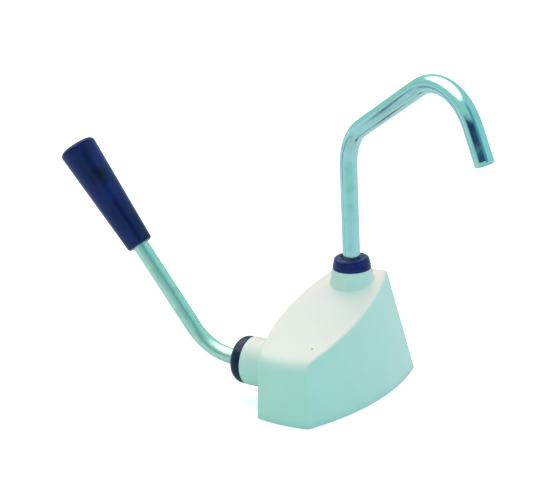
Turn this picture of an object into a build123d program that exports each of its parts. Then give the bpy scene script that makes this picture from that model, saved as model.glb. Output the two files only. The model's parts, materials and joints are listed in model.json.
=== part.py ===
from build123d import *
import os
from math import cos, hypot, radians, sin, sqrt, tan

# Deck-mounted double-acting hand pump, in millimetres.
# The origin lies on the deck, on the pump's middle plane, halfway between its four
# deck fixings. +X points right, +Y to the rear and +Z up. The handle's shaft leaves
# the left side of the body, and the spout stands at the rear of the sloping top.

# Body outline: half-widths at the corners, and how far the edges bow outwards
front_y = -64.0
rear_y = 63.7
base_front_half = 20.8
base_rear_half = 39.2
base_side_bow = 12.4
top_front_y = -61.1
top_rear_y = 61.6
top_front_half = 19.1
top_rear_half = 18.9
top_side_bow = 10.7
front_bow = 2.2
top_front_height = 46.8
top_slope = 13.2
brow_radius = 12.0
edge_radius = 1.6
body_wall = 2.6

# Handle shaft and the nose that carries it
shaft_y = -34.0
shaft_height = 28.6
nose_radius = 17.7
nose_end_x = -43.0
nose_bore_radius = 14.5
nose_edge_radius = 1.2
nose_flare_radius = 3.0
running_gap = 0.05
journal_radius = 8.0
drive_square = 7.0
pivot_radius = 3.0
pivot_length = 2.0
pivot_end_gap = 0.3

# Pumping chamber
chamber_radius = 17.0
chamber_wall = 2.5
chamber_left_x = -15.0
chamber_right_x = 16.0
end_wall = 3.0
flange_width = 4.0
cover_thickness = 3.0
cover_boss_radius = 13.0
cover_boss_length = 6.0
seal_length = 4.0
seal_outer_radius = 11.0
cover_screw_radius = 1.1
cover_screw_inset = 2.0
cover_screw_depth = 3.0
cover_head_radius = 1.9
cover_head_height = 1.6

# Wing, saddle and valve flaps
hub_radius = 6.5
wing_thickness = 4.0
wing_tip_room = 1.4
wing_side_gap = 0.1
wing_seal_thickness = 2.0
wing_seal_depth = 1.4
saddle_half_angle = 30.0
saddle_hub_gap = 0.3
inlet_half_angle = 19.0
inlet_inner_radius = 9.5
flap_thickness = 1.0
flap_gap = 0.05
flap_tip_room = 1.6
flap_width = 20.0
flap_root_radius = 8.2
port_width = 15.0
port_root_lap = 1.6
port_tip_lap = 2.4

# Base: gasket, plate and fixings
gasket_thickness = 1.5
gasket_inset = 1.0
plate_thickness = 3.5
plate_clearance = 0.15
deck_fixing_x = 17.0
deck_fixing_y = 46.0
insert_bore_radius = 2.1
insert_radius = 3.5
insert_length = 7.0
insert_boss_radius = 5.0
insert_boss_cover = 1.2
base_screw_front = (15.0, -57.5)
base_screw_rear = (28.0, 56.6)
base_screw_radius = 1.5
base_head_radius = 2.8
base_head_height = 1.8
base_screw_length = 11.0
pillar_radius = 3.4
pillar_height = 9.0
pillar_rib = 2.0

# Inlet: hose tail and the duct that leads the water under the chamber
hose_y = 16.0
hose_radius = 6.35
hose_shoulder_radius = 7.2
hose_shoulder_drop = 2.0
hose_bore_radius = 4.8
hose_drop = 24.0
hose_tip_chamfer = 1.0
hose_flange_radius = 9.0
hose_flange_thickness = 3.0
hose_seal_radius = 8.8
hose_seal_thickness = 0.8
duct_half_width = 11.0
duct_wall = 1.8
duct_overlap = 4.4
duct_front_room = 8.0
duct_rear_room = 11.5
chamber_inlet_width = 16.0
chamber_inlet_length = 7.0

# Outlet: duct, socket and the swivelling spout
outlet_radius = 5.5
outlet_bore_radius = 4.0
spout_y = 42.2
boss_rise = 9.67
boss_wall = 2.85
boss_taper = 10.0
boss_flare_radius = 1.5
bush_wall = 1.5
socket_wall = 3.7
socket_floor = 3.0
socket_floor_gap = 0.1
socket_shoulder_width = 2.4
socket_shoulder_length = 4.0
sleeve_depth = 22.7
lower_bush_depth = 30.7
bush_length = 7.0
ring_thickness = 1.5
spacer_length = 4.0
collar_spigot = 2.7
collar_step = 0.4
collar_taper = 1.4
collar_height = 8.5
collar_shoulder = 2.4
collar_dish_width = 3.1
collar_dish_depth = 2.0

# Spout tube: a riser, a climbing arm and a descending end
spout_radius = 6.5
spout_wall = 1.2
spout_foot_depth = 34.7
spout_corner_rise = 98.7
spout_turn = -27.3
arm_rise = 30.0
arm_length = 140.0
tip_drop = 62.1
tip_length = 67.3
riser_bend = 36.0
tip_bend = 40.5
clip_gap = 0.4
clip_thickness = 1.2
clip_width = 1.15

# Handle tube and grip
handle_radius = 6.0
handle_wall = 1.3
handle_end_x = -24.0
handle_corner_x = -78.7
handle_lift = 53.3
handle_length = 182.5
handle_bend = 43.7
journal_end_x = -40.5
pin_x = -33.0
pin_radius = 1.5
pin_length = 15.4
nose_bush_end_x = -27.0
nose_bush_start_x = -40.0
nose_collar_spigot = 2.0
nose_collar_radius = 17.4
nose_collar_length = 11.0
nose_collar_dome = 7.5
grip_length = 88.2
grip_low_radius = 9.9
grip_high_radius = 14.2
grip_low_round = 2.2
grip_high_round = 3.4
grip_end_wall = 8.0

plate_top = gasket_thickness + plate_thickness
chamber_middle_x = (chamber_left_x + chamber_right_x) / 2
wing_left_x = chamber_left_x + wing_side_gap
wing_right_x = chamber_right_x - wing_side_gap
cover_x = chamber_left_x - cover_thickness
cover_end_x = cover_x - cover_boss_length
barrel_radius = chamber_radius + chamber_wall
flange_radius = chamber_radius + flange_width
cover_screw_circle = flange_radius - cover_screw_inset
wing_reach = chamber_radius - wing_tip_room
flap_tip_radius = chamber_radius - flap_tip_room
port_start = flap_root_radius + port_root_lap
port_end = flap_tip_radius - port_tip_lap
duct_top = shaft_height - barrel_radius + duct_overlap
outlet_z = shaft_height + chamber_radius - outlet_radius
bush_bore_radius = spout_radius + running_gap
socket_bore_radius = bush_bore_radius + bush_wall
socket_radius = socket_bore_radius + socket_wall
socket_bottom = outlet_z - outlet_bore_radius - socket_floor_gap - socket_floor
socket_shoulder_radius = socket_radius + socket_shoulder_width
boss_height = top_front_height + (spout_y - top_front_y) * tan(radians(top_slope)) + boss_rise
boss_top_radius = socket_radius + boss_wall
sleeve_bottom = boss_height - sleeve_depth
collar_radius = boss_top_radius - collar_step
collar_top_radius = collar_radius - collar_taper
lower_bush_bottom = boss_height - lower_bush_depth
lower_bush_top = lower_bush_bottom + bush_length
spacer_bottom = lower_bush_top + ring_thickness
spacer_top = spacer_bottom + spacer_length
upper_bush_bottom = spacer_top + ring_thickness
upper_bush_top = boss_height - collar_spigot
seat_turn = saddle_half_angle - 90
wing_face = wing_thickness / 2
base_screw_places = [(side * x, y) for x, y in (base_screw_front, base_screw_rear) for side in (-1, 1)]
deck_fixing_places = [(sx * deck_fixing_x, sy * deck_fixing_y) for sx in (-1, 1) for sy in (-1, 1)]


def top_at(y):
    """Height of the sloping top at one place along the body."""
    return top_front_height + (y - top_front_y) * tan(radians(top_slope))


def rod(radius, x0, x1, y=shaft_y, z=shaft_height):
    """Round bar along X, on the shaft's axis unless another is given."""
    return Pos((x0 + x1) / 2, y, z) * Rot(0, 90, 0) * Cylinder(radius, x1 - x0)


def post(radius, z0, z1, x=0.0, y=0.0):
    """Round bar along Z."""
    return Pos(x, y, (z0 + z1) / 2) * Cylinder(radius, z1 - z0)


def block(x0, x1, y0, y1, z0, z1):
    """Box between two corners."""
    return Pos((x0 + x1) / 2, (y0 + y1) / 2, (z0 + z1) / 2) * Box(x1 - x0, y1 - y0, z1 - z0)


def at_shaft(shape, turn=0.0, side=1):
    """Place a shape drawn about the origin on the shaft's axis, turned, on the rear or front side."""
    turned = Rot(turn, 0, 0) * shape
    if side < 0:
        turned = mirror(turned, about=Plane.XZ)
    return Pos(0, shaft_y, shaft_height) * turned


def sector(inner, outer, middle, half_angle, x0, x1):
    """Ring sector about the shaft's axis; angles are measured from +Y towards +Z."""
    start = middle - half_angle
    sweep_angle = 2 * half_angle
    outer_arc = CenterArc((0, 0), outer, start, sweep_angle)
    inner_arc = CenterArc((0, 0), inner, start, sweep_angle)
    edges = [outer_arc, Line(outer_arc @ 1, inner_arc @ 1), inner_arc, Line(inner_arc @ 0, outer_arc @ 0)]
    return at_shaft(extrude(Plane.YZ.offset(x0) * Face(Wire(edges)), x1 - x0))


def outline(front_half, rear_half, side_bow, near_y, far_y, inset, height):
    """Closed outline with bowed sides and front; height gives z for each y."""
    near = near_y + inset
    far = far_y - inset
    front = front_half - inset
    rear = rear_half - inset
    waist = (front_half + rear_half) / 2 + side_bow - inset
    middle = (near + far) / 2

    def at(x, y):
        return (x, y, height(y))

    edges = [
        ThreePointArc(at(front, near), at(waist, middle), at(rear, far)),
        Line(at(rear, far), at(-rear, far)),
        ThreePointArc(at(-rear, far), at(-waist, middle), at(-front, near)),
        ThreePointArc(at(-front, near), at(0, near - front_bow), at(front, near)),
    ]
    return Face(Wire(edges))


def body_form(inset):
    """The body's outer form with its rounded brow, or the same form drawn in by a wall."""
    lowered = inset / cos(radians(top_slope))
    base = outline(base_front_half, base_rear_half, base_side_bow, front_y, rear_y, inset, lambda y: 0)
    top = outline(top_front_half, top_rear_half, top_side_bow, top_front_y, top_rear_y, inset,
                  lambda y: top_at(y) - lowered)
    form = loft([base, top], ruled=True)
    raised = ShapeList([e for e in form.edges() if min((e @ 0).Z, (e @ 1).Z) > top_front_height / 2])
    return fillet(raised.sort_by(Axis.Y)[0], brow_radius - inset)


def seam(form, gap):
    """Longest edge whose points all lie on a surface; gap gives a point's distance from that surface."""
    found = [e for e in form.edges() if all(abs(gap(e @ share)) < 0.01 for share in (0, 0.25, 0.5, 0.75))]
    return ShapeList(found).sort_by(SortBy.LENGTH)[-1]


def outer_skin():
    """Body form with softened edges, nose and spout boss."""
    form = body_form(0)
    rim = ShapeList([e for e in form.edges() if abs(e.center().Z - top_at(e.center().Y)) < 0.05])
    upright = [e for e in form.edges()
               if min((e @ 0).Z, (e @ 1).Z) < 1 and max((e @ 0).Z, (e @ 1).Z) > top_front_height / 2]
    form = fillet(rim.sort_by(Axis.Y)[1:] + upright, edge_radius)
    nose = rod(nose_radius, nose_end_x, chamber_left_x)
    nose = fillet(nose.edges().group_by(Axis.X)[0], nose_edge_radius)
    boss_bottom = top_at(spout_y) - brow_radius
    boss_run = (boss_height - boss_bottom) * tan(radians(boss_taper))
    boss = Pos(0, spout_y, (boss_bottom + boss_height) / 2) * Cone(
        boss_top_radius + boss_run, boss_top_radius, boss_height - boss_bottom)

    def nose_gap(point):
        beyond = point.X < nose_end_x + nose_edge_radius + 1
        return 1 if beyond else hypot(point.Y - shaft_y, point.Z - shaft_height) - nose_radius

    def boss_gap(point):
        radius = boss_top_radius + (boss_height - point.Z) * tan(radians(boss_taper))
        return 1 if point.Z > boss_height - 1 else hypot(point.X, point.Y - spout_y) - radius

    skin = form + nose
    skin = fillet(seam(skin, nose_gap), nose_flare_radius) + boss
    return fillet(seam(skin, boss_gap), boss_flare_radius)


def screw_pillars():
    """Pillars that take the base screws, each tied to the nearest end wall by a rib."""
    pillars = []
    for x, y in base_screw_places:
        wall_y = front_y if y < 0 else rear_y
        top = plate_top + pillar_height
        pillars.append(post(pillar_radius, plate_top, top, x, y))
        near, far = sorted((y, wall_y))
        pillars.append(block(x - pillar_rib / 2, x + pillar_rib / 2, near, far, plate_top, top))
    return Part() + pillars


def base_screw_bores():
    top = gasket_thickness + base_screw_length
    return [post(base_screw_radius, 0, top, x, y) for x, y in base_screw_places]


def pump_body():
    """Hollow moulding, open below, with the handle's nose on the left and the spout boss on top."""
    shell = outer_skin() - body_form(body_wall)
    sleeve = post(socket_shoulder_radius, sleeve_bottom, top_at(spout_y) - body_wall, y=spout_y)
    pillars = screw_pillars() & body_form(body_wall / 2)
    shell = shell + sleeve + pillars
    shell = shell - rod(nose_bore_radius, nose_end_x, chamber_left_x)
    shell = shell - post(socket_radius, sleeve_bottom, boss_height, y=spout_y)
    return shell - base_screw_bores()


def deck_gasket():
    """Soft sheet between the base plate and the deck."""
    sheet = body_form(body_wall + gasket_inset) & block(
        -base_rear_half * 2, base_rear_half * 2, front_y, rear_y, 0, gasket_thickness)
    holes = [post(insert_boss_radius, 0, gasket_thickness, x, y) for x, y in deck_fixing_places]
    return sheet - holes - post(hose_flange_radius, 0, gasket_thickness, y=hose_y)


def base_plate():
    """Plate that closes the body from below and carries the deck inserts and the hose tail."""
    plate = body_form(body_wall + plate_clearance) & block(
        -base_rear_half * 2, base_rear_half * 2, front_y, rear_y, gasket_thickness, plate_top)
    for x, y in deck_fixing_places:
        plate += post(insert_boss_radius, gasket_thickness, insert_length + insert_boss_cover, x, y)
        plate -= post(insert_radius, 0, insert_length, x, y)
    return plate - post(hose_shoulder_radius, 0, plate_top, y=hose_y) - base_screws()


def base_screws():
    """Countersunk screws that hold the plate to the body's pillars."""
    screws = []
    for x, y in base_screw_places:
        head = Pos(x, y, gasket_thickness + base_head_height / 2) * Cone(
            base_head_radius, base_screw_radius, base_head_height)
        shank = post(base_screw_radius, gasket_thickness, gasket_thickness + base_screw_length, x, y)
        screws.append(head + shank)
    return screws


def deck_inserts():
    """Threaded brass inserts for bolts that come up through the deck."""
    return [post(insert_radius, 0, insert_length, x, y) - post(insert_bore_radius, 0, insert_length, x, y)
            for x, y in deck_fixing_places]


def hose_tail():
    """Inlet spigot through the deck, with a flange above the base plate."""
    flange_bottom = plate_top + hose_seal_thickness
    flange_top = flange_bottom + hose_flange_thickness
    spigot = post(hose_radius, -hose_drop, -hose_shoulder_drop, y=hose_y)
    spigot = chamfer(spigot.edges().group_by(Axis.Z)[0], hose_tip_chamfer)
    spigot += post(hose_shoulder_radius, -hose_shoulder_drop, flange_bottom, y=hose_y)
    flange = post(hose_flange_radius, flange_bottom, flange_top, y=hose_y)
    return spigot + flange - post(hose_bore_radius, -hose_drop, flange_top, y=hose_y)


def hose_tail_seal():
    seal_top = plate_top + hose_seal_thickness
    ring = post(hose_seal_radius, plate_top, seal_top, y=hose_y)
    return ring - post(hose_shoulder_radius, plate_top, seal_top, y=hose_y)


def inlet_duct():
    """Covered channel from the hose tail to the chamber's inlet; the chamber rests in its saddle."""
    near = shaft_y - duct_front_room
    far = hose_y + duct_rear_room
    inner = duct_half_width - duct_wall
    duct = block(-duct_half_width, duct_half_width, near, far, plate_top, duct_top)
    duct -= block(-inner, inner, near + duct_wall, far - duct_wall, plate_top, duct_top - duct_wall)
    return duct - rod(barrel_radius, -duct_half_width, duct_half_width)


def cover_screws():
    """Screws that close the chamber, evenly spaced round its flange."""
    screws = []
    for turn in (45, 135, 225, 315):
        shank = rod(cover_screw_radius, cover_x, chamber_left_x + cover_screw_depth, 0, 0)
        head = rod(cover_head_radius, cover_x - cover_head_height, cover_x, 0, 0)
        screws.append(at_shaft(Pos(0, cover_screw_circle, 0) * (shank + head), turn))
    return screws


def pump_barrel():
    """Chamber with a closed right end, an inlet below and an outlet high at the rear."""
    barrel = rod(barrel_radius, chamber_left_x, chamber_right_x + end_wall)
    barrel += rod(flange_radius, chamber_left_x, chamber_left_x + cover_screw_depth)
    barrel -= rod(chamber_radius, chamber_left_x, chamber_right_x)
    barrel -= rod(pivot_radius + running_gap, chamber_right_x, chamber_right_x + pivot_length + pivot_end_gap)
    barrel -= block(chamber_middle_x - chamber_inlet_width / 2, chamber_middle_x + chamber_inlet_width / 2,
                    shaft_y - chamber_inlet_length / 2, shaft_y + chamber_inlet_length / 2,
                    plate_top, shaft_height - chamber_radius / 2)
    barrel -= outlet_bore()
    return barrel - cover_screws()


def outlet_bore():
    """Round passage from the chamber to the spout socket."""
    length = spout_y - shaft_y
    return Pos(0, shaft_y + length / 2, outlet_z) * Rot(90, 0, 0) * Cylinder(outlet_bore_radius, length)


def barrel_cover():
    """End cover with the shaft's bearing and a seat for its seal."""
    cover = rod(flange_radius, cover_x, chamber_left_x) + rod(cover_boss_radius, cover_end_x, cover_x)
    cover -= rod(journal_radius + running_gap, cover_end_x, chamber_left_x)
    cover -= rod(seal_outer_radius, cover_end_x, cover_end_x + seal_length)
    return cover - cover_screws()


def shaft_seal():
    """Lip seal round the shaft, with a groove behind its lip."""
    lip_outer = (journal_radius + seal_outer_radius) / 2
    groove = rod(lip_outer + running_gap, cover_end_x, cover_end_x + seal_length / 2)
    groove -= rod(lip_outer - wing_side_gap, cover_end_x, cover_end_x + seal_length / 2)
    seal = rod(seal_outer_radius, cover_end_x, cover_end_x + seal_length)
    return seal - rod(journal_radius + running_gap, cover_end_x, cover_end_x + seal_length) - groove


def port(depth, height, turn, side):
    """Slot through a seat, under a flap, from a depth below the seat to a height above it."""
    slot = block(chamber_middle_x - port_width / 2, chamber_middle_x + port_width / 2,
                 port_start, port_end, -depth, height)
    return at_shaft(slot, turn, side)


def saddle():
    """Fixed wedge below the hub that parts the chamber and carries the two suction valves."""
    wedge = sector(hub_radius + saddle_hub_gap, chamber_radius, -90, saddle_half_angle,
                   chamber_left_x, chamber_right_x)
    wedge -= sector(inlet_inner_radius, barrel_radius, -90, inlet_half_angle,
                    chamber_left_x + chamber_wall, chamber_right_x - chamber_wall)
    return wedge - [port(chamber_wall, flap_thickness, seat_turn, side) for side in (1, -1)]


def flap(lift, turn, side):
    """Valve flap lying on a seat; it lifts about its root, the edge nearest the shaft."""
    bottom = lift + flap_gap
    plate = block(chamber_middle_x - flap_width / 2, chamber_middle_x + flap_width / 2,
                  flap_root_radius, flap_tip_radius, bottom, bottom + flap_thickness)
    return at_shaft(plate, turn, side)


def square_drive(x0, x1):
    return block(x0, x1, shaft_y - drive_square / 2, shaft_y + drive_square / 2,
                 shaft_height - drive_square / 2, shaft_height + drive_square / 2)


def seal_strips():
    """Strips set in the wing's two tips, just clear of the chamber wall."""
    root = wing_reach - wing_seal_depth
    half = wing_seal_thickness / 2
    tip = sqrt((chamber_radius - running_gap) ** 2 - half ** 2)
    strip = block(wing_left_x, wing_right_x, root, tip, -half, half)
    return [at_shaft(strip, 0, side) for side in (1, -1)]


def wing():
    """Rocking vane on a hub, with a delivery port through each side."""
    vane = rod(hub_radius, wing_left_x, wing_right_x)
    vane += at_shaft(block(wing_left_x, wing_right_x, -wing_reach, wing_reach,
                           -wing_thickness / 2, wing_thickness / 2))
    vane -= square_drive(wing_left_x, wing_right_x)
    ports = [port(wing_thickness, wing_thickness, 0, side) for side in (1, -1)]
    return vane - ports - seal_strips()


def rotor_shaft():
    """Stainless shaft: pivot, square drive, journal, and a socket for the handle tube."""
    shaft = square_drive(chamber_left_x, wing_right_x)
    shaft += rod(pivot_radius, wing_right_x, chamber_right_x + pivot_length)
    shaft += rod(journal_radius, journal_end_x, chamber_left_x)
    return shaft - rod(handle_radius, journal_end_x, handle_end_x) - pin_blank()


def pin_blank():
    return post(pin_radius, shaft_height - journal_radius, shaft_height + journal_radius, pin_x, shaft_y)


def handle_pin():
    """Spring pin that ties the handle tube to the shaft."""
    half = pin_length / 2
    pin = post(pin_radius, shaft_height - half, shaft_height + half, pin_x, shaft_y)
    return pin - post(pin_radius / 2, shaft_height - half, shaft_height + half, pin_x, shaft_y)


def nose_bush():
    """Bearing sleeve that fills the nose and guides the shaft."""
    return (rod(nose_bore_radius, nose_bush_start_x, nose_bush_end_x)
            - rod(journal_radius + running_gap, nose_bush_start_x, nose_bush_end_x))


def nose_collar():
    """Domed cap on the nose, pressed into its bore."""
    outer_x = nose_end_x - nose_collar_length
    dome = rod(nose_collar_radius, outer_x, nose_end_x)
    dome = fillet(dome.edges().group_by(Axis.X)[0], nose_collar_dome)
    spigot = rod(nose_bore_radius, nose_end_x, nose_end_x + nose_collar_spigot)
    bore = rod(handle_radius + running_gap, outer_x, nose_end_x + nose_collar_spigot)
    return dome + spigot - bore


def tube(points, bends, radius, wall):
    """Tube along straight runs joined by tangent bends."""
    path = FilletPolyline(*points, radius=bends)
    start = Plane(origin=path @ 0, z_dir=path % 0)
    return sweep(start * (Circle(radius) - Circle(radius - wall)), path=path)


def handle_direction():
    return Vector(-cos(radians(handle_lift)), 0, sin(radians(handle_lift)))


def handle_tube():
    """Crank tube: straight out of the nose, then bent up to the grip."""
    corner = Vector(handle_corner_x, shaft_y, shaft_height)
    end = corner + handle_direction() * (handle_length - grip_end_wall)
    start = Vector(handle_end_x, shaft_y, shaft_height)
    return tube([start, corner, end], [handle_bend], handle_radius, handle_wall) - pin_blank()


def grip():
    """Tapered hand grip, wider at its closed outer end."""
    corner = Vector(handle_corner_x, shaft_y, shaft_height)
    root = corner + handle_direction() * (handle_length - grip_length)
    body = Pos(0, 0, grip_length / 2) * Cone(grip_low_radius, grip_high_radius, grip_length)
    body = fillet(body.edges().group_by(Axis.Z)[0], grip_low_round)
    body = fillet(body.edges().group_by(Axis.Z)[-1], grip_high_round)
    body -= post(handle_radius, 0, grip_length - grip_end_wall)
    return Plane(origin=root, z_dir=handle_direction()).location * body


def discharge_duct():
    """Tube from the chamber's outlet to the spout socket."""
    length = spout_y - shaft_y
    duct = Pos(0, shaft_y + length / 2, outlet_z) * Rot(90, 0, 0) * Cylinder(outlet_radius, length)
    duct -= rod(barrel_radius, chamber_left_x, chamber_right_x)
    duct -= post(socket_radius, socket_bottom, boss_height, y=spout_y)
    return duct - outlet_bore()


def spout_socket():
    """Cup under the spout boss that collects the water and holds the bushes and seals."""
    socket = post(socket_radius, socket_bottom, boss_height, y=spout_y)
    socket += post(socket_shoulder_radius, sleeve_bottom - socket_shoulder_length, sleeve_bottom, y=spout_y)
    socket -= post(socket_bore_radius, socket_bottom + socket_floor, boss_height, y=spout_y)
    return socket - outlet_bore()


def spout_bush(bottom, top):
    return (post(socket_bore_radius, bottom, top, y=spout_y)
            - post(bush_bore_radius, bottom, top, y=spout_y))


def spout_o_rings():
    """Two rings that fill the room between the socket and the tube."""
    section = (socket_bore_radius - bush_bore_radius) / 2
    middle = (socket_bore_radius + bush_bore_radius) / 2
    heights = (lower_bush_top + ring_thickness / 2, spacer_top + ring_thickness / 2)
    return [Pos(0, spout_y, z) * Torus(middle, section) for z in heights]


def spout_collar():
    """Round-shouldered collar with a dished top, plugged into the socket."""
    top = boss_height + collar_height
    rim = Pos(0, spout_y, boss_height + collar_height / 2) * Cone(
        collar_radius, collar_top_radius, collar_height)
    rim = fillet(rim.edges().group_by(Axis.Z)[-1], collar_shoulder)
    dish = Pos(0, spout_y, top - collar_dish_depth / 2) * Cone(
        spout_radius, spout_radius + collar_dish_width, collar_dish_depth)
    spigot = post(socket_bore_radius, upper_bush_top, boss_height, y=spout_y)
    return rim + spigot - dish - post(bush_bore_radius, upper_bush_top, top, y=spout_y)


def spout_tube():
    """Swivelling spout: riser, climbing arm and descending end."""
    reach = Vector(cos(radians(spout_turn)), sin(radians(spout_turn)), 0)
    foot = Vector(0, spout_y, boss_height - spout_foot_depth)
    corner = Vector(0, spout_y, boss_height + spout_corner_rise)
    crown = corner + (reach * cos(radians(arm_rise)) + Vector(0, 0, sin(radians(arm_rise)))) * arm_length
    tip = crown + (reach * cos(radians(tip_drop)) - Vector(0, 0, sin(radians(tip_drop)))) * tip_length
    return tube([foot, corner, crown, tip], [riser_bend, tip_bend], spout_radius, spout_wall)


def spout_clip():
    """Split ring that keeps the tube below the lower bush."""
    top = lower_bush_bottom - clip_gap
    bottom = top - clip_thickness
    outer = spout_radius + clip_width
    ring = post(outer, bottom, top, y=spout_y) - post(spout_radius, bottom, top, y=spout_y)
    return ring - block(-clip_thickness, clip_thickness, spout_y, spout_y + outer, bottom, top)


nodes = {
    "pump_body": pump_body(),
    "deck_gasket": deck_gasket(),
    "base_plate": base_plate(),
    "base_screws": base_screws(),
    "deck_inserts": deck_inserts(),
    "hose_tail": hose_tail(),
    "hose_tail_seal": hose_tail_seal(),
    "inlet_duct": inlet_duct(),
    "pump_barrel": pump_barrel(),
    "barrel_cover": barrel_cover(),
    "cover_screws": cover_screws(),
    "shaft_seal": shaft_seal(),
    "saddle": saddle(),
    "suction_flap_rear": flap(0, seat_turn, 1),
    "suction_flap_front": flap(0, seat_turn, -1),
    "wing": wing(),
    "wing_seals": seal_strips(),
    "delivery_flap_rear": flap(wing_face, 0, 1),
    "delivery_flap_front": flap(wing_face, 0, -1),
    "rotor_shaft": rotor_shaft(),
    "handle_pin": handle_pin(),
    "nose_bush": nose_bush(),
    "nose_collar": nose_collar(),
    "handle_tube": handle_tube(),
    "grip": grip(),
    "discharge_duct": discharge_duct(),
    "spout_socket": spout_socket(),
    "lower_spout_bush": spout_bush(lower_bush_bottom, lower_bush_top),
    "seal_spacer": spout_bush(spacer_bottom, spacer_top),
    "upper_spout_bush": spout_bush(upper_bush_bottom, upper_bush_top),
    "spout_o_rings": spout_o_rings(),
    "spout_collar": spout_collar(),
    "spout_tube": spout_tube(),
    "spout_clip": spout_clip(),
}

os.makedirs("parts", exist_ok=True)
for name, shape in nodes.items():
    whole = Compound(children=list(shape)) if isinstance(shape, list) else shape
    export_step(whole, f"parts/{name}.step")
print(len(nodes), "parts written")
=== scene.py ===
import json
from math import atan2, cos, radians, sin, tan

import bmesh
import bpy
import numpy as np
from mathutils import Matrix, Vector


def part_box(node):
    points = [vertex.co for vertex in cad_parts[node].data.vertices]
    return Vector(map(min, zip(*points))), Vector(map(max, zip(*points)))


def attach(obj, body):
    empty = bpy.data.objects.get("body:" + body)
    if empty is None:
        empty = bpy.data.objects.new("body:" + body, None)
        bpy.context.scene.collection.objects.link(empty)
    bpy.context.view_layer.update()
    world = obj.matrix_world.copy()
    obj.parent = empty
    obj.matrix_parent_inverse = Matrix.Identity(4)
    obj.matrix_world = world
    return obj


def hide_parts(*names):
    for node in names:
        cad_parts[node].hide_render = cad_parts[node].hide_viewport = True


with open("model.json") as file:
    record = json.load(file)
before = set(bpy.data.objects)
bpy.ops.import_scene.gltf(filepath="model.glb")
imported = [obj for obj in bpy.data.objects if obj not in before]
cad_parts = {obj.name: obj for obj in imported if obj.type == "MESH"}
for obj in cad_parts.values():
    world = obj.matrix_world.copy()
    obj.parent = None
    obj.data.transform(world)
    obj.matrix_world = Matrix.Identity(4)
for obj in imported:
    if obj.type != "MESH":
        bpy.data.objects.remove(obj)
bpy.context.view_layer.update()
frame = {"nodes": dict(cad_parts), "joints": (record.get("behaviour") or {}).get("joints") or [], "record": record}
nodes = frame["nodes"]
record = frame["record"]
mm = 0.001
print("frame loaded:", len(nodes), "CAD nodes")

joints = {joint["name"]: joint for joint in frame["joints"]}
mounts = {mount["name"]: mount for mount in record["mounts"]}
shaftAxis = np.array(joints["handle_swing"]["pos_m"])      # a point on the crank's axis, along X
riserAxis = np.array(joints["spout_swivel"]["pos_m"])      # a point on the spout's axis, along Z
merging = dict(pointsMm=0.002, sliversMm=0.001)            # anything smaller than this is merged


# A line through the corners, with each inner corner replaced by an arc of its own radius:
# the arc starts r*tan(turn/2) before the corner and turns evenly until it meets the next run.
def roundedLine(corners, radii, arcSteps=16, spacing=2 * mm):
    corners = np.asarray(corners, float)
    parts = []
    start = corners[0]
    for i, radius in enumerate(radii, 1):
        inward = corners[i] - corners[i - 1]
        inward /= np.linalg.norm(inward)
        outward = corners[i + 1] - corners[i]
        outward /= np.linalg.norm(outward)
        turn = np.arccos(np.clip(inward @ outward, -1, 1))
        reach = radius * tan(turn / 2)
        arcStart = corners[i] - inward * reach
        side = outward - inward * (inward @ outward)
        side /= np.linalg.norm(side)
        angle = np.linspace(0, turn, arcSteps)[:, None]
        arc = arcStart + radius * (np.sin(angle) * inward + (1 - np.cos(angle)) * side)
        parts += [straightRun(start, arcStart, spacing), arc[:-1]]
        start = arc[-1]
    parts += [straightRun(start, corners[-1], spacing), corners[-1:]]
    return np.concatenate(parts)


# Evenly spaced points from one end of a run up to, but not on, the other.
def straightRun(start, end, spacing):
    count = max(1, int(np.linalg.norm(end - start) / spacing))
    share = np.arange(count)[:, None] / count
    return start + (end - start) * share


# Turns a closed grid of points (rows run along the piece, columns around it) into a mesh.
# The UV map holds real metres: u around the piece, v along the profile or path.
def gridPiece(name, points, around, along, closedRows):
    rows, columns = points.shape[:2]
    surface = bpy.data.meshes.new(name)
    r, c = np.meshgrid(np.arange(rows if closedRows else rows - 1), np.arange(columns), indexing="ij")
    nextRow, nextColumn = (r + 1) % rows, (c + 1) % columns
    quads = np.stack([r * columns + c, r * columns + nextColumn,
                      nextRow * columns + nextColumn, nextRow * columns + c], -1).reshape(-1, 4)
    surface.from_pydata(points.reshape(-1, 3).tolist(), [], quads.tolist())
    u = np.stack([c, c + 1, c + 1, c], -1) * (around / columns)
    reach = np.append(along, along[-1] + along[1] - along[0])
    v = np.stack([reach[r], reach[r], reach[r + 1], reach[r + 1]], -1)
    layer = surface.uv_layers.new(name="surface")
    layer.data.foreach_set("uv", np.stack([u, v], -1).astype(np.float32).ravel())
    work = bmesh.new()
    work.from_mesh(surface)
    bmesh.ops.remove_doubles(work, verts=work.verts, dist=merging["pointsMm"] * mm)
    bmesh.ops.dissolve_degenerate(work, edges=work.edges, dist=merging["sliversMm"] * mm)
    bmesh.ops.recalc_face_normals(work, faces=work.faces)
    work.to_mesh(surface)
    work.free()
    surface.shade_smooth()
    piece = bpy.data.objects.new(name, surface)
    bpy.context.scene.collection.objects.link(piece)
    return piece


# A surface of revolution: profile rows are (radius, height), and a point at turn t is
# foot + axis*height + radius*(side*cos t + across*sin t).
def lathe(name, profile, foot, axis, columns=96, closed=True):
    axis = np.asarray(axis, float) / np.linalg.norm(axis)
    side = np.cross(axis, [0, 1, 0] if abs(axis[1]) < 0.9 else [1, 0, 0])
    side /= np.linalg.norm(side)
    across = np.cross(axis, side)
    turn = np.arange(columns) * 2 * np.pi / columns
    ring = np.cos(turn)[:, None] * side + np.sin(turn)[:, None] * across
    points = foot + profile[:, 1, None, None] * axis + profile[:, 0, None, None] * ring
    along = np.insert(np.cumsum(np.linalg.norm(np.diff(profile, axis=0), axis=1)), 0, 0)
    return gridPiece(name, points, 2 * np.pi * profile[:, 0].max(), along, closed)


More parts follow.
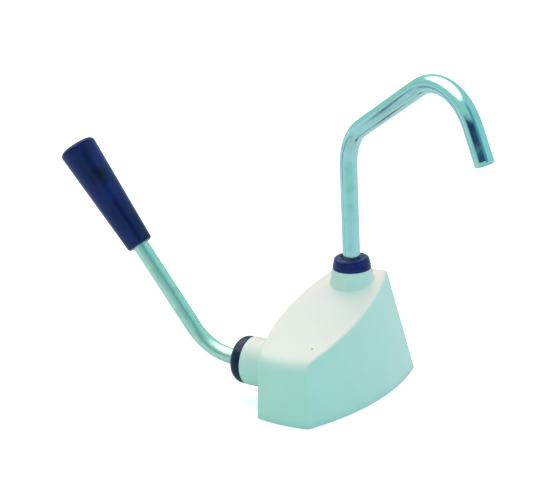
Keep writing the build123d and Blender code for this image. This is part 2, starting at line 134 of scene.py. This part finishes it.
# A bent tube: outer wall, rounded rim, inner wall and rim again form one closed strip that is
# carried along the path. A point is path + slip*tangent + r*(inPlane*cos t*flat + normal*sin t),
# where flat is a little under 1 in the bends, as in a tube that was bent on a former.
def bentTube(name, path, planeNormal, outer, wall, flattening, columns=64, rimSteps=7):
    tangent = np.gradient(path, axis=0)
    tangent /= np.linalg.norm(tangent, axis=1)[:, None]
    bending = np.linalg.norm(np.gradient(tangent, axis=0), axis=1)
    easeRows = 5                                   # rows over which a bend's flattening comes in
    bending = np.convolve(bending / max(bending.max(), 1e-9), np.ones(easeRows) / easeRows, "same")
    inPlane = np.cross(planeNormal, tangent)
    lip = wall / 2
    swing = np.linspace(0, np.pi, rimSteps)[1:-1]
    last = len(path) - 1
    order = np.concatenate([np.arange(last + 1), np.full(len(swing), last),
                            np.arange(last, -1, -1), np.zeros(len(swing), int)])
    radius = np.concatenate([np.full(last + 1, outer), outer - lip + lip * np.cos(swing),
                             np.full(last + 1, outer - wall), outer - lip - lip * np.cos(swing)])
    slip = np.zeros(len(order))
    slip[order == last] = -lip
    slip[order == 0] = lip
    slip[last + 1:last + 1 + len(swing)] += lip * np.sin(swing)
    slip[-len(swing):] -= lip * np.sin(swing)
    turn = np.arange(columns) * 2 * np.pi / columns
    flat = 1 - flattening * bending[order]
    ring = ((np.cos(turn) * flat[:, None])[..., None] * inPlane[order][:, None]
            + np.sin(turn)[:, None] * np.asarray(planeNormal))
    points = (path[order] + slip[:, None] * tangent[order])[:, None] + radius[:, None, None] * ring
    steps = np.linalg.norm(np.diff(points[:, 0], axis=0), axis=1)
    along = np.insert(np.cumsum(steps), 0, 0)
    return gridPiece(name, points, 2 * np.pi * outer, along, True)


# An sRGB hex colour as the linear red, green, blue and alpha that shaders take.
def linear(hexColour):
    values = [int(hexColour[i:i + 2], 16) / 255 for i in (1, 3, 5)]
    return [v / 12.92 if v <= 0.04045 else ((v + 0.055) / 1.055) ** 2.4 for v in values] + [1.0]


# Adds one node, gives it its settings, and links or sets its inputs.
def add(tree, kind, inputs=None, **settings):
    node = tree.nodes.new(kind)
    for key, value in settings.items():
        setattr(node, key, value)
    for key, value in (inputs or {}).items():
        if isinstance(value, bpy.types.NodeSocket):
            tree.links.new(value, node.inputs[key])
        else:
            node.inputs[key].default_value = value
    return node


# A material whose plain numbers are set straight on the shader's sockets.
def newMaterial(name, **shaderInputs):
    material = bpy.data.materials.new(name)
    material.use_nodes = True
    tree = material.node_tree
    shader = tree.nodes["Principled BSDF"]
    for key, value in shaderInputs.items():
        shader.inputs[key.replace("_", " ")].default_value = value
    return material, tree, shader


# Cycles a metre for a pattern whose marks are this many millimetres apart.
def perMetre(sizeMm):
    return 1.0 / (sizeMm * mm)


# Injection-moulded ABS: near-white, satin, with the faint spark grain of the tool, a slow
# change of gloss where the plastic cooled, a colour that turns darker towards the foot near the deck, and a
# small dark spot drawn on the slope. The grain is drawn coarser than the real one.
def whiteMoulding():
    look = dict(body="#EEF1EC", cooled="#E4EAE4", footColour="#B9C2B8", darkSpot="#4F5F60", grainMm=0.9, mottleMm=24,
                footMm=5, footMost=0.5, darkSpotPlaceMm=(14.0, -43.4, 50.9), darkSpotRadiusMm=0.9, darkSpotMost=0.9,
                gloss=(0.38, 0.52), bumpStrength=0.12, bumpMm=0.06)
    material, tree, shader = newMaterial("whiteAbs", IOR=1.53, Subsurface_Weight=0.06,
                                         Subsurface_Scale=1.5 * mm, Subsurface_Radius=(1.0, 0.9, 0.8))
    place = add(tree, "ShaderNodeTexCoord").outputs["Object"]
    mottle = add(tree, "ShaderNodeTexNoise",
                 {"Vector": place, "Scale": perMetre(look["mottleMm"]), "Detail": 5.0})
    grain = add(tree, "ShaderNodeTexNoise",
                {"Vector": place, "Scale": perMetre(look["grainMm"]), "Detail": 2.0})
    tone = add(tree, "ShaderNodeMix", {"Factor": mottle.outputs["Fac"], "A": linear(look["body"]),
                                       "B": linear(look["cooled"])}, data_type="RGBA")
    # Darker towards the foot: a darker colour is mixed in over the lowest few millimetres, broken up by the
    # mottle.
    height = add(tree, "ShaderNodeSeparateXYZ", {"Vector": place})
    foot = add(tree, "ShaderNodeMapRange",
               {"Value": height.outputs["Z"], "From Min": 0.0, "From Max": look["footMm"] * mm,
                "To Min": look["footMost"], "To Max": 0.0})
    footShare = add(tree, "ShaderNodeMath", {0: foot.outputs["Result"], 1: mottle.outputs["Fac"]},
                operation="MULTIPLY")
    footToned = add(tree, "ShaderNodeMix", {"Factor": footShare.outputs[0], "A": tone.outputs["Result"],
                                         "B": linear(look["footColour"])}, data_type="RGBA")
    # A small dark spot, about a millimetre across, mixed into the colour at one place on the slope.
    darkSpotPlace = [value * mm for value in look["darkSpotPlaceMm"]]
    away = add(tree, "ShaderNodeVectorMath", {0: place, 1: darkSpotPlace}, operation="DISTANCE")
    darkSpotEdge = look["darkSpotRadiusMm"] * mm
    darkSpot = add(tree, "ShaderNodeMapRange",
               {"Value": away.outputs["Value"], "From Min": darkSpotEdge / 2, "From Max": darkSpotEdge,
                "To Min": look["darkSpotMost"], "To Max": 0.0})
    marked = add(tree, "ShaderNodeMix", {"Factor": darkSpot.outputs["Result"], "A": footToned.outputs["Result"],
                                         "B": linear(look["darkSpot"])}, data_type="RGBA")
    gloss = add(tree, "ShaderNodeMapRange", {"Value": mottle.outputs["Fac"], "To Min": look["gloss"][0],
                                             "To Max": look["gloss"][1]})
    bump = add(tree, "ShaderNodeBump", {"Height": grain.outputs["Fac"], "Strength": look["bumpStrength"],
                                        "Distance": look["bumpMm"] * mm})
    tree.links.new(marked.outputs["Result"], shader.inputs["Base Color"])
    tree.links.new(gloss.outputs["Result"], shader.inputs["Roughness"])
    tree.links.new(bump.outputs["Normal"], shader.inputs["Normal"])
    return material


# Moulded navy plastic: deep blue and satin, with darker streaks along its length that are painted shade,
# hair scratches, and paler rubbed patches where the hand holds it. The scratches are
# drawn wider than real ones, so that they show.
def navyPlastic(name, base, shadeStreakColour, rubbed, roughness):
    look = dict(scratchMm=(0.5, 14), rubMm=18, grainMm=0.6, streakMm=(16, 110), rubEdges=(0.45, 0.75),
                streakEdges=(0.42, 0.62), glossier=0.08, duller=0.10, bumpStrength=0.08, bumpMm=0.05)
    material, tree, shader = newMaterial(name, IOR=1.49, Specular_IOR_Level=0.3)
    surface = add(tree, "ShaderNodeUVMap", uv_map="surface").outputs["UV"]
    place = add(tree, "ShaderNodeTexCoord").outputs["Object"]
    acrossMm, alongMm = look["scratchMm"]
    stretched = add(tree, "ShaderNodeMapping", {"Vector": surface,
                                                "Scale": (perMetre(acrossMm), perMetre(alongMm), 1.0)})
    scratches = add(tree, "ShaderNodeTexNoise",
                    {"Vector": stretched.outputs["Vector"], "Scale": 1.0, "Detail": 4.0})
    rub = add(tree, "ShaderNodeTexNoise", {"Vector": place, "Scale": perMetre(look["rubMm"]), "Detail": 4.0})
    grain = add(tree, "ShaderNodeTexNoise",
                {"Vector": place, "Scale": perMetre(look["grainMm"]), "Detail": 3.0})
    patch = add(tree, "ShaderNodeMapRange", {"Value": rub.outputs["Fac"], "From Min": look["rubEdges"][0],
                                             "From Max": look["rubEdges"][1]})
    # Darker lengthwise streaks mixed over the base colour: painted shade.
    aroundMm, lengthMm = look["streakMm"]
    drawn = add(tree, "ShaderNodeMapping", {"Vector": surface,
                                            "Scale": (perMetre(aroundMm), perMetre(lengthMm), 1.0)})
    shadeStreakNoise = add(tree, "ShaderNodeTexNoise",
               {"Vector": drawn.outputs["Vector"], "Scale": 1.0, "Detail": 5.0})
    streak = add(tree, "ShaderNodeMapRange",
                 {"Value": shadeStreakNoise.outputs["Fac"], "From Min": look["streakEdges"][0],
                  "From Max": look["streakEdges"][1]})
    shadeStreaked = add(tree, "ShaderNodeMix", {"Factor": streak.outputs["Result"], "A": linear(base),
                                         "B": linear(shadeStreakColour)}, data_type="RGBA")
    tone = add(tree, "ShaderNodeMix", {"Factor": patch.outputs["Result"], "A": shadeStreaked.outputs["Result"],
                                       "B": linear(rubbed)}, data_type="RGBA")
    gloss = add(tree, "ShaderNodeMapRange",
                {"Value": scratches.outputs["Fac"], "To Min": roughness - look["glossier"],
                 "To Max": roughness + look["duller"]})
    marks = add(tree, "ShaderNodeMath", {0: scratches.outputs["Fac"], 1: grain.outputs["Fac"]},
                operation="ADD")
    bump = add(tree, "ShaderNodeBump", {"Height": marks.outputs[0], "Strength": look["bumpStrength"],
                                        "Distance": look["bumpMm"] * mm})
    tree.links.new(tone.outputs["Result"], shader.inputs["Base Color"])
    tree.links.new(gloss.outputs["Result"], shader.inputs["Roughness"])
    tree.links.new(bump.outputs["Normal"], shader.inputs["Normal"])
    return material


# Bright metal tube: smooth and shiny, with faint polishing lines along it and dull water marks.
# The lines are drawn wider than real ones, so that they show.
def tubeMetal(name, base, dulled, roughness, lineStrength):
    look = dict(lineMm=(0.35, 30), markMm=9, markEdges=(0.5, 0.72), duller=0.12, bumpMm=0.02)
    material, tree, shader = newMaterial(name, Metallic=1.0)
    surface = add(tree, "ShaderNodeUVMap", uv_map="surface").outputs["UV"]
    place = add(tree, "ShaderNodeTexCoord").outputs["Object"]
    acrossMm, alongMm = look["lineMm"]
    stretched = add(tree, "ShaderNodeMapping", {"Vector": surface,
                                                "Scale": (perMetre(acrossMm), perMetre(alongMm), 1.0)})
    lines = add(tree, "ShaderNodeTexNoise",
                {"Vector": stretched.outputs["Vector"], "Scale": 1.0, "Detail": 3.0})
    marks = add(tree, "ShaderNodeTexNoise", {"Vector": place, "Scale": perMetre(look["markMm"]),
                                             "Detail": 6.0, "Roughness": 0.65})
    dull = add(tree, "ShaderNodeMapRange", {"Value": marks.outputs["Fac"], "From Min": look["markEdges"][0],
                                            "From Max": look["markEdges"][1]})
    tone = add(tree, "ShaderNodeMix", {"Factor": dull.outputs["Result"], "A": linear(base),
                                       "B": linear(dulled)}, data_type="RGBA")
    gloss = add(tree, "ShaderNodeMapRange", {"Value": dull.outputs["Result"], "To Min": roughness,
                                             "To Max": roughness + look["duller"]})
    bump = add(tree, "ShaderNodeBump", {"Height": lines.outputs["Fac"], "Strength": lineStrength,
                                        "Distance": look["bumpMm"] * mm})
    tree.links.new(tone.outputs["Result"], shader.inputs["Base Color"])
    tree.links.new(gloss.outputs["Result"], shader.inputs["Roughness"])
    tree.links.new(bump.outputs["Normal"], shader.inputs["Normal"])
    return material


# Hidden working parts: one recipe of base colour, speckle and fine surface marks.
# toolMm is the spacing of the marks the tool or mould left, drawn coarse enough to show.
def workedPart(name, base, speck, roughness, metallic, toolMm):
    look = dict(cloudMm=7, glossier=0.06, duller=0.08, bumpStrength=0.2, bumpMm=0.04)
    material, tree, shader = newMaterial(name, Metallic=metallic)
    place = add(tree, "ShaderNodeTexCoord").outputs["Object"]
    cloud = add(tree, "ShaderNodeTexNoise",
                {"Vector": place, "Scale": perMetre(look["cloudMm"]), "Detail": 5.0})
    tool = add(tree, "ShaderNodeTexNoise", {"Vector": place, "Scale": perMetre(toolMm), "Detail": 3.0})
    tone = add(tree, "ShaderNodeMix", {"Factor": cloud.outputs["Fac"], "A": linear(base),
                                       "B": linear(speck)}, data_type="RGBA")
    gloss = add(tree, "ShaderNodeMapRange",
                {"Value": cloud.outputs["Fac"], "To Min": roughness - look["glossier"],
                 "To Max": roughness + look["duller"]})
    bump = add(tree, "ShaderNodeBump", {"Height": tool.outputs["Fac"], "Strength": look["bumpStrength"],
                                        "Distance": look["bumpMm"] * mm})
    tree.links.new(tone.outputs["Result"], shader.inputs["Base Color"])
    tree.links.new(gloss.outputs["Result"], shader.inputs["Roughness"])
    tree.links.new(bump.outputs["Normal"], shader.inputs["Normal"])
    return material


# What each finish gives the eye stands above it.
finishes = {
    # injection-moulded ABS, satin white
    "white_plastic": whiteMoulding(),
    # The second colour given to each navy finish is its painted-shade streak colour.
    # injection-moulded polypropylene, satin navy, a little worn
    "grip_navy": navyPlastic("navyPolypropylene", "#141862", "#0A0C30", "#1A2474", 0.21),
    # moulded acetal, slightly waxy navy
    "collar_navy": navyPlastic("navyAcetal", "#101765", "#0B0F45", "#182273", 0.22),
    # the same acetal from another batch, nearer black
    "cap_navy": navyPlastic("darkNavyAcetal", "#0A1A42", "#081030", "#10244E", 0.24),
    # chrome on polished brass tube, a soft mirror; its mint tint is a painted reflection of the mint room
    "spout_chrome": tubeMetal("chromePlatedBrass", "#C0E0E2", "#B0D2D4", 0.15, 0.05),
    # drawn stainless tube, brushed lengthwise to a satin; its mint tint is a painted reflection of the mint room
    "handle_steel": tubeMetal("satinStainless", "#D0E6DA", "#B9D3C6", 0.35, 0.12),
    # moulded nitrile rubber, matt near-black
    "black_rubber": workedPart("nitrileRubber", "#15161A", "#24262B", 0.62, 0.0, 0.8),
    # moulded glass-filled nylon, dull grey with a fibrous fleck
    "grey_plastic": workedPart("glassFilledNylon", "#3C4044", "#4A4F53", 0.55, 0.0, 0.7),
    # turned acetal, waxy off-white
    "acetal": workedPart("acetalBearing", "#DCD9CE", "#D0CCC0", 0.42, 0.0, 0.6),
    # machined brass, warm with fine tool marks
    "brass_insert": workedPart("machinedBrass", "#C9A24A", "#B58C3A", 0.30, 1.0, 0.5),
    # ground stainless bar, cool grey
    "stainless_steel": workedPart("groundStainless", "#B9BDC0", "#A5AAAE", 0.28, 1.0, 0.4),
    # cold-headed stainless screws, slightly duller
    "stainless_screw": workedPart("stainlessScrew", "#AEB2B4", "#9A9FA2", 0.34, 1.0, 0.4),
}
print("materials made:", len(finishes))

# The CAD nodes take their slot's finish. The grip and collars share one slot, and new pieces hide them.
for subpart in record["subparts"]:
    mesh = nodes[subpart["node"]].data
    mesh.materials.clear()
    mesh.materials.append(finishes.get(subpart["material_slot"], finishes["collar_navy"]))


# Dresses a new piece, makes it move with its body, and hides the CAD node it stands for.
def finishPiece(piece, body, node, finish):
    piece.data.materials.append(finishes[finish])
    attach(piece, body)
    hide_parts(node)


# The spout is one bent tube: up the swivel axis, along the climbing arm, down the end.
def makeSpout():
    spout = dict(wall=1.2 * mm, riserBend=36 * mm, tipBend=40.5 * mm, rise=30.0, armLength=140 * mm,
                 tipLength=67.3 * mm, cornerHeight=179.4 * mm, flattening=0.03)
    outlet = mounts["spout_outlet"]
    outer = outlet["dims"]["r_mm"] * mm
    heading = atan2(outlet["axis"][1], outlet["axis"][0])
    reach = np.array([cos(heading), sin(heading), 0.0])
    foot = np.array([riserAxis[0], riserAxis[1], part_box("spout_tube")[0].z])
    corner = np.array([riserAxis[0], riserAxis[1], spout["cornerHeight"]])
    up = np.array([0, 0, 1.0])
    rise = radians(spout["rise"])
    crown = corner + (reach * cos(rise) + up * sin(rise)) * spout["armLength"]
    tip = crown + np.array(outlet["axis"]) * spout["tipLength"]
    path = roundedLine([foot, corner, crown, tip], [spout["riserBend"], spout["tipBend"]], arcSteps=30)
    piece = bentTube("spoutTube", path, np.cross(up, reach), outer, spout["wall"], spout["flattening"])
    finishPiece(piece, "spout", "spout_tube", "spout_chrome")


# The crank's bend and its grip share these: lift is the angle above level, reach runs from the
# bend's corner to the grip's end.
handle = dict(lift=53.3, cornerX=-78.7 * mm, reach=182.5 * mm, gripLength=88.2 * mm, gripEndWall=8 * mm,
              fit=0.05 * mm)
crankOuter = (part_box("handle_tube")[1].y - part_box("handle_tube")[0].y) / 2
handleDirection = np.array([-cos(radians(handle["lift"])), 0, sin(radians(handle["lift"]))])
crankCorner = np.array([handle["cornerX"], shaftAxis[1], shaftAxis[2]])


# The crank is a bent tube from the shaft's socket to inside the grip.
def makeCrank():
    crank = dict(wall=1.3 * mm, bend=43.7 * mm, flattening=0.04)
    inner = np.array([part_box("handle_tube")[1].x, shaftAxis[1], shaftAxis[2]])
    end = crankCorner + handleDirection * (handle["reach"] - handle["gripEndWall"])
    path = roundedLine([inner, crankCorner, end], [crank["bend"]], arcSteps=30)
    piece = bentTube("crankTube", path, np.array([0, 1.0, 0]), crankOuter, crank["wall"],
                     crank["flattening"], columns=56)
    finishPiece(piece, "handle", "handle_tube", "handle_steel")


# The grip is turned: a straight taper with a rounded rim, a slightly crowned closed end,
# and a bore that holds the tube.
def makeGrip():
    grip = dict(lowRadius=9.9 * mm, highRadius=14.2 * mm, lowRound=2.2 * mm, highRound=3.3 * mm,
                mouthRound=0.8 * mm, crown=0.4 * mm)
    top = handle["gripLength"]
    bore = crankOuter + handle["fit"]
    bottom = top - handle["gripEndWall"]
    profile = roundedLine(
        [(bore, bottom), (bore, 0), (grip["lowRadius"], 0),
         (grip["highRadius"], top - grip["crown"]), (0, top)],
        [grip["mouthRound"], grip["lowRound"], grip["highRound"]], arcSteps=9)
    profile = np.concatenate([[(0, bottom)], profile])
    foot = crankCorner + handleDirection * (handle["reach"] - top)
    piece = lathe("handGrip", profile, foot, handleDirection, closed=False)
    finishPiece(piece, "handle", "grip", "grip_navy")


# Collar round the spout's foot: a straight skirt, a narrow groove, a rounded shoulder, and a
# dished top that falls towards the tube. roundsMm are the radii of the profile's inner corners.
def makeSpoutCollar():
    collar = dict(plug=2.7 * mm, plugRadius=8.05 * mm, bore=6.55 * mm, bevelIn=0.3 * mm, bevelUp=0.6 * mm,
                  band=3.2 * mm, draft=0.2 * mm, groove=0.5 * mm, grooveSlope=0.25 * mm,
                  grooveWidth=0.6 * mm, shoulderIn=0.35 * mm, taper=1.4 * mm, dishRadius=9.6 * mm,
                  dishDepth=2.1 * mm, boreLap=0.2 * mm,
                  roundsMm=(0.2, 0.2, 0.2, 0.3, 0.2, 0.1, 0.15, 2.3, 0.9, 0.4))
    low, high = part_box("spout_collar")
    skirt = (high.x - low.x) / 2
    foot = np.array([riserAxis[0], riserAxis[1], low.z])
    bore, seat = collar["bore"], collar["plug"]
    bandEdge = skirt - collar["draft"]
    grooveHeight = seat + collar["band"]
    top = high.z - low.z
    profile = roundedLine(
        [(bore, 0), (collar["plugRadius"], 0), (collar["plugRadius"], seat),
         (skirt - collar["bevelIn"], seat), (skirt, seat + collar["bevelUp"]), (bandEdge, grooveHeight),
         (bandEdge - collar["groove"], grooveHeight + collar["grooveSlope"]),
         (skirt - collar["shoulderIn"], grooveHeight + collar["grooveWidth"]),
         (skirt - collar["taper"], top), (collar["dishRadius"], top),
         (bore, top - collar["dishDepth"]), (bore, collar["boreLap"])],
        [radius * mm for radius in collar["roundsMm"]], arcSteps=7, spacing=1 * mm)
    piece = lathe("spoutCollar", profile, foot, (0, 0, 1), columns=112)
    finishPiece(piece, "pump", "spout_collar", "collar_navy")


# Cap on the nose: a short straight rim, then a dome that falls to a small lip round the crank.
def makeNoseCollar():
    cap = dict(plug=2 * mm, plugRadius=14.5 * mm, lipRadius=8.2 * mm, lipHeight=0.6 * mm,
               lipSlope=0.3 * mm, boreLap=0.2 * mm, roundsMm=(0.3, 0.2, 0.4, 7.4, 0.5, 0.2, 0.3))
    low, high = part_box("nose_collar")
    length = high.x - low.x
    rim = (high.y - low.y) / 2
    bore = crankOuter + handle["fit"]
    face = length - cap["lipHeight"]
    foot = np.array([high.x, shaftAxis[1], shaftAxis[2]])
    profile = roundedLine(
        [(bore, 0), (cap["plugRadius"], 0), (cap["plugRadius"], cap["plug"]), (rim, cap["plug"]),
         (rim, face), (cap["lipRadius"], face), (cap["lipRadius"] - cap["lipSlope"], length),
         (bore, length), (bore, cap["boreLap"])],
        [radius * mm for radius in cap["roundsMm"]], arcSteps=10, spacing=1 * mm)
    piece = lathe("noseCap", profile, foot, (-1, 0, 0), columns=112)
    finishPiece(piece, "pump", "nose_collar", "cap_navy")


makeSpout()
makeCrank()
makeGrip()
makeSpoutCollar()
makeNoseCollar()
print("pieces made")


# White seamless paper where the camera sees it, and a mint bounce card for all that it lights.
# Gloss sees the paper paler away from the heading that points to the camera's side.
def makeFloor():
    paper = dict(size=12.0, drop=0.2 * mm, roughness=0.9, seen="#FFFFFF", glow=0.6, bounce="#B2ECE5",
                 far="#CDF2F8", heading=(0.48, -0.87, 0.0), reach=(0.38, 0.12))
    half = paper["size"] / 2
    mesh = bpy.data.meshes.new("floor")
    corners = [(-half, -half, 0), (half, -half, 0), (half, half, 0), (-half, half, 0)]
    mesh.from_pydata(corners, [], [(0, 1, 2, 3)])
    floor = bpy.data.objects.new("floor", mesh)
    bpy.context.scene.collection.objects.link(floor)
    floor.location.z = -paper["drop"]
    material, tree, shader = newMaterial("seamlessPaper", Roughness=paper["roughness"],
                                         Emission_Color=linear(paper["seen"]))
    ray = add(tree, "ShaderNodeLightPath").outputs
    place = add(tree, "ShaderNodeTexCoord").outputs["Object"]
    ahead = add(tree, "ShaderNodeVectorMath", {0: place, 1: paper["heading"]}, operation="DOT_PRODUCT")
    far = add(tree, "ShaderNodeMapRange",
              {"Value": ahead.outputs["Value"], "From Min": paper["reach"][0],
               "From Max": paper["reach"][1]}, interpolation_type="SMOOTHSTEP")
    glossFar = add(tree, "ShaderNodeMath", {0: far.outputs["Result"], 1: ray["Is Glossy Ray"]},
                   operation="MULTIPLY")
    bounce = add(tree, "ShaderNodeMix", {"Factor": glossFar.outputs[0], "A": linear(paper["bounce"]),
                                         "B": linear(paper["far"])}, data_type="RGBA")
    tone = add(tree, "ShaderNodeMix", {"Factor": ray["Is Camera Ray"], "A": bounce.outputs["Result"],
                                       "B": linear(paper["seen"])}, data_type="RGBA")
    glow = add(tree, "ShaderNodeMath", {0: ray["Is Camera Ray"], 1: paper["glow"]}, operation="MULTIPLY")
    tree.links.new(tone.outputs["Result"], shader.inputs["Base Color"])
    tree.links.new(glow.outputs[0], shader.inputs["Emission Strength"])
    mesh.materials.append(material)


# Dark cards that only gloss sees: the navy one draws the streak on the spout's end, the teal one
# the band along the handle. A card is a band of directions near the plane square to its pole,
# from low to high, and it ends where it faces too far away from its middle.
darkCards = [
    dict(colour="#0A1260", middle=(0.25, -0.86, 0.44), reach=(0.56, 0.72), pole=(0.416, -0.215, -0.884),
         low=(-0.34, -0.24), high=(-0.03, -0.08)),
    dict(colour="#4FA6A6", middle=(0.68, -0.44, 0.59), reach=(0.78, 0.86), pole=(0.545, 0.839, 0.0),
         low=(-0.24, -0.14), high=(0.24, 0.14)),
]


# The room is a cool mint, bluer on the right.
def makeRoom():
    room = dict(left="#AADFD2", right="#A6E6EC", turnsBlue=(-0.2, 0.9), strength=1.0)
    world = bpy.data.worlds.new("softRoom")
    bpy.context.scene.world = world
    world.use_nodes = True
    tree = world.node_tree
    direction = add(tree, "ShaderNodeTexCoord").outputs["Generated"]
    side = add(tree, "ShaderNodeSeparateXYZ", {"Vector": direction})
    right = add(tree, "ShaderNodeMapRange",
                {"Value": side.outputs["X"], "From Min": room["turnsBlue"][0],
                 "From Max": room["turnsBlue"][1]}, interpolation_type="SMOOTHSTEP")
    colour = add(tree, "ShaderNodeMix", {"Factor": right.outputs["Result"], "A": linear(room["left"]),
                                         "B": linear(room["right"])}, data_type="RGBA").outputs["Result"]
    gloss = add(tree, "ShaderNodeLightPath").outputs["Is Glossy Ray"]
    for card in darkCards:
        cover = gloss
        for facing, edges in (("middle", "reach"), ("pole", "low"), ("pole", "high")):
            towards = add(tree, "ShaderNodeVectorMath", {0: direction, 1: card[facing]},
                          operation="DOT_PRODUCT")
            inside = add(tree, "ShaderNodeMapRange",
                         {"Value": towards.outputs["Value"], "From Min": card[edges][0],
                          "From Max": card[edges][1]}, interpolation_type="SMOOTHSTEP")
            cover = add(tree, "ShaderNodeMath", {0: cover, 1: inside.outputs["Result"]},
                        operation="MULTIPLY").outputs[0]
        colour = add(tree, "ShaderNodeMix", {"Factor": cover, "A": colour, "B": linear(card["colour"])},
                     data_type="RGBA").outputs["Result"]
    tree.links.new(colour, tree.nodes["Background"].inputs["Color"])
    tree.nodes["Background"].inputs["Strength"].default_value = room["strength"]


# A wide sun. Spread is its angle in degrees, and comesFrom points to it.
def makeSun(name, colour, strength, spread, comesFrom):
    light = bpy.data.lights.new(name, "SUN")
    light.energy = strength
    light.color = colour
    light.angle = radians(spread)
    lamp = bpy.data.objects.new(name, light)
    lamp.rotation_euler = Vector(comesFrom).to_track_quat("Z", "Y").to_euler()
    bpy.context.scene.collection.objects.link(lamp)
    return lamp


# The key is a rose wash from above that only matt light sees: with the mint room it adds up to
# white on top and leaves the sides mint. Gloss sees a white softbox overhead instead.
def makeLamps():
    key = dict(colour=(1.0, 0.29, 0.33), strength=1.85, spread=50, comesFrom=(-0.15, 0.35, 0.92))
    box = dict(colour=(1, 1, 1), strength=1.9, spread=70, comesFrom=(-0.45, 0.05, 0.89))
    makeSun("keyLight", **key).visible_glossy = False
    makeSun("softBox", **box).visible_diffuse = False


# The camera looks at its target from an azimuth right of the front, and is rolled a little.
def makeCamera():
    view = dict(target=(-29.4 * mm, -9.1 * mm, 109.5 * mm), distance=967.4 * mm, azimuth=32.2,
                elevation=18.4, roll=-2.9, lens=87.3, sensor=36)
    az, el, roll = (radians(view[key]) for key in ("azimuth", "elevation", "roll"))
    right = Vector((cos(az), sin(az), 0))
    back = Vector((sin(az) * cos(el), -cos(az) * cos(el), sin(el)))
    up = back.cross(right)
    tilted = right * cos(roll) + up * sin(roll)
    upright = back.cross(tilted)
    camera = bpy.data.objects.new("camera", bpy.data.cameras.new("camera"))
    camera.data.lens = view["lens"]
    camera.data.sensor_width = view["sensor"]
    turned = Matrix((tilted, upright, back)).transposed().to_4x4()
    camera.matrix_world = Matrix.Translation(Vector(view["target"]) + back * view["distance"]) @ turned
    bpy.context.scene.collection.objects.link(camera)
    bpy.context.scene.camera = camera


makeFloor()
makeRoom()
makeLamps()
makeCamera()
bpy.context.scene.view_settings.view_transform = "Standard"
print("floor, light and camera made")
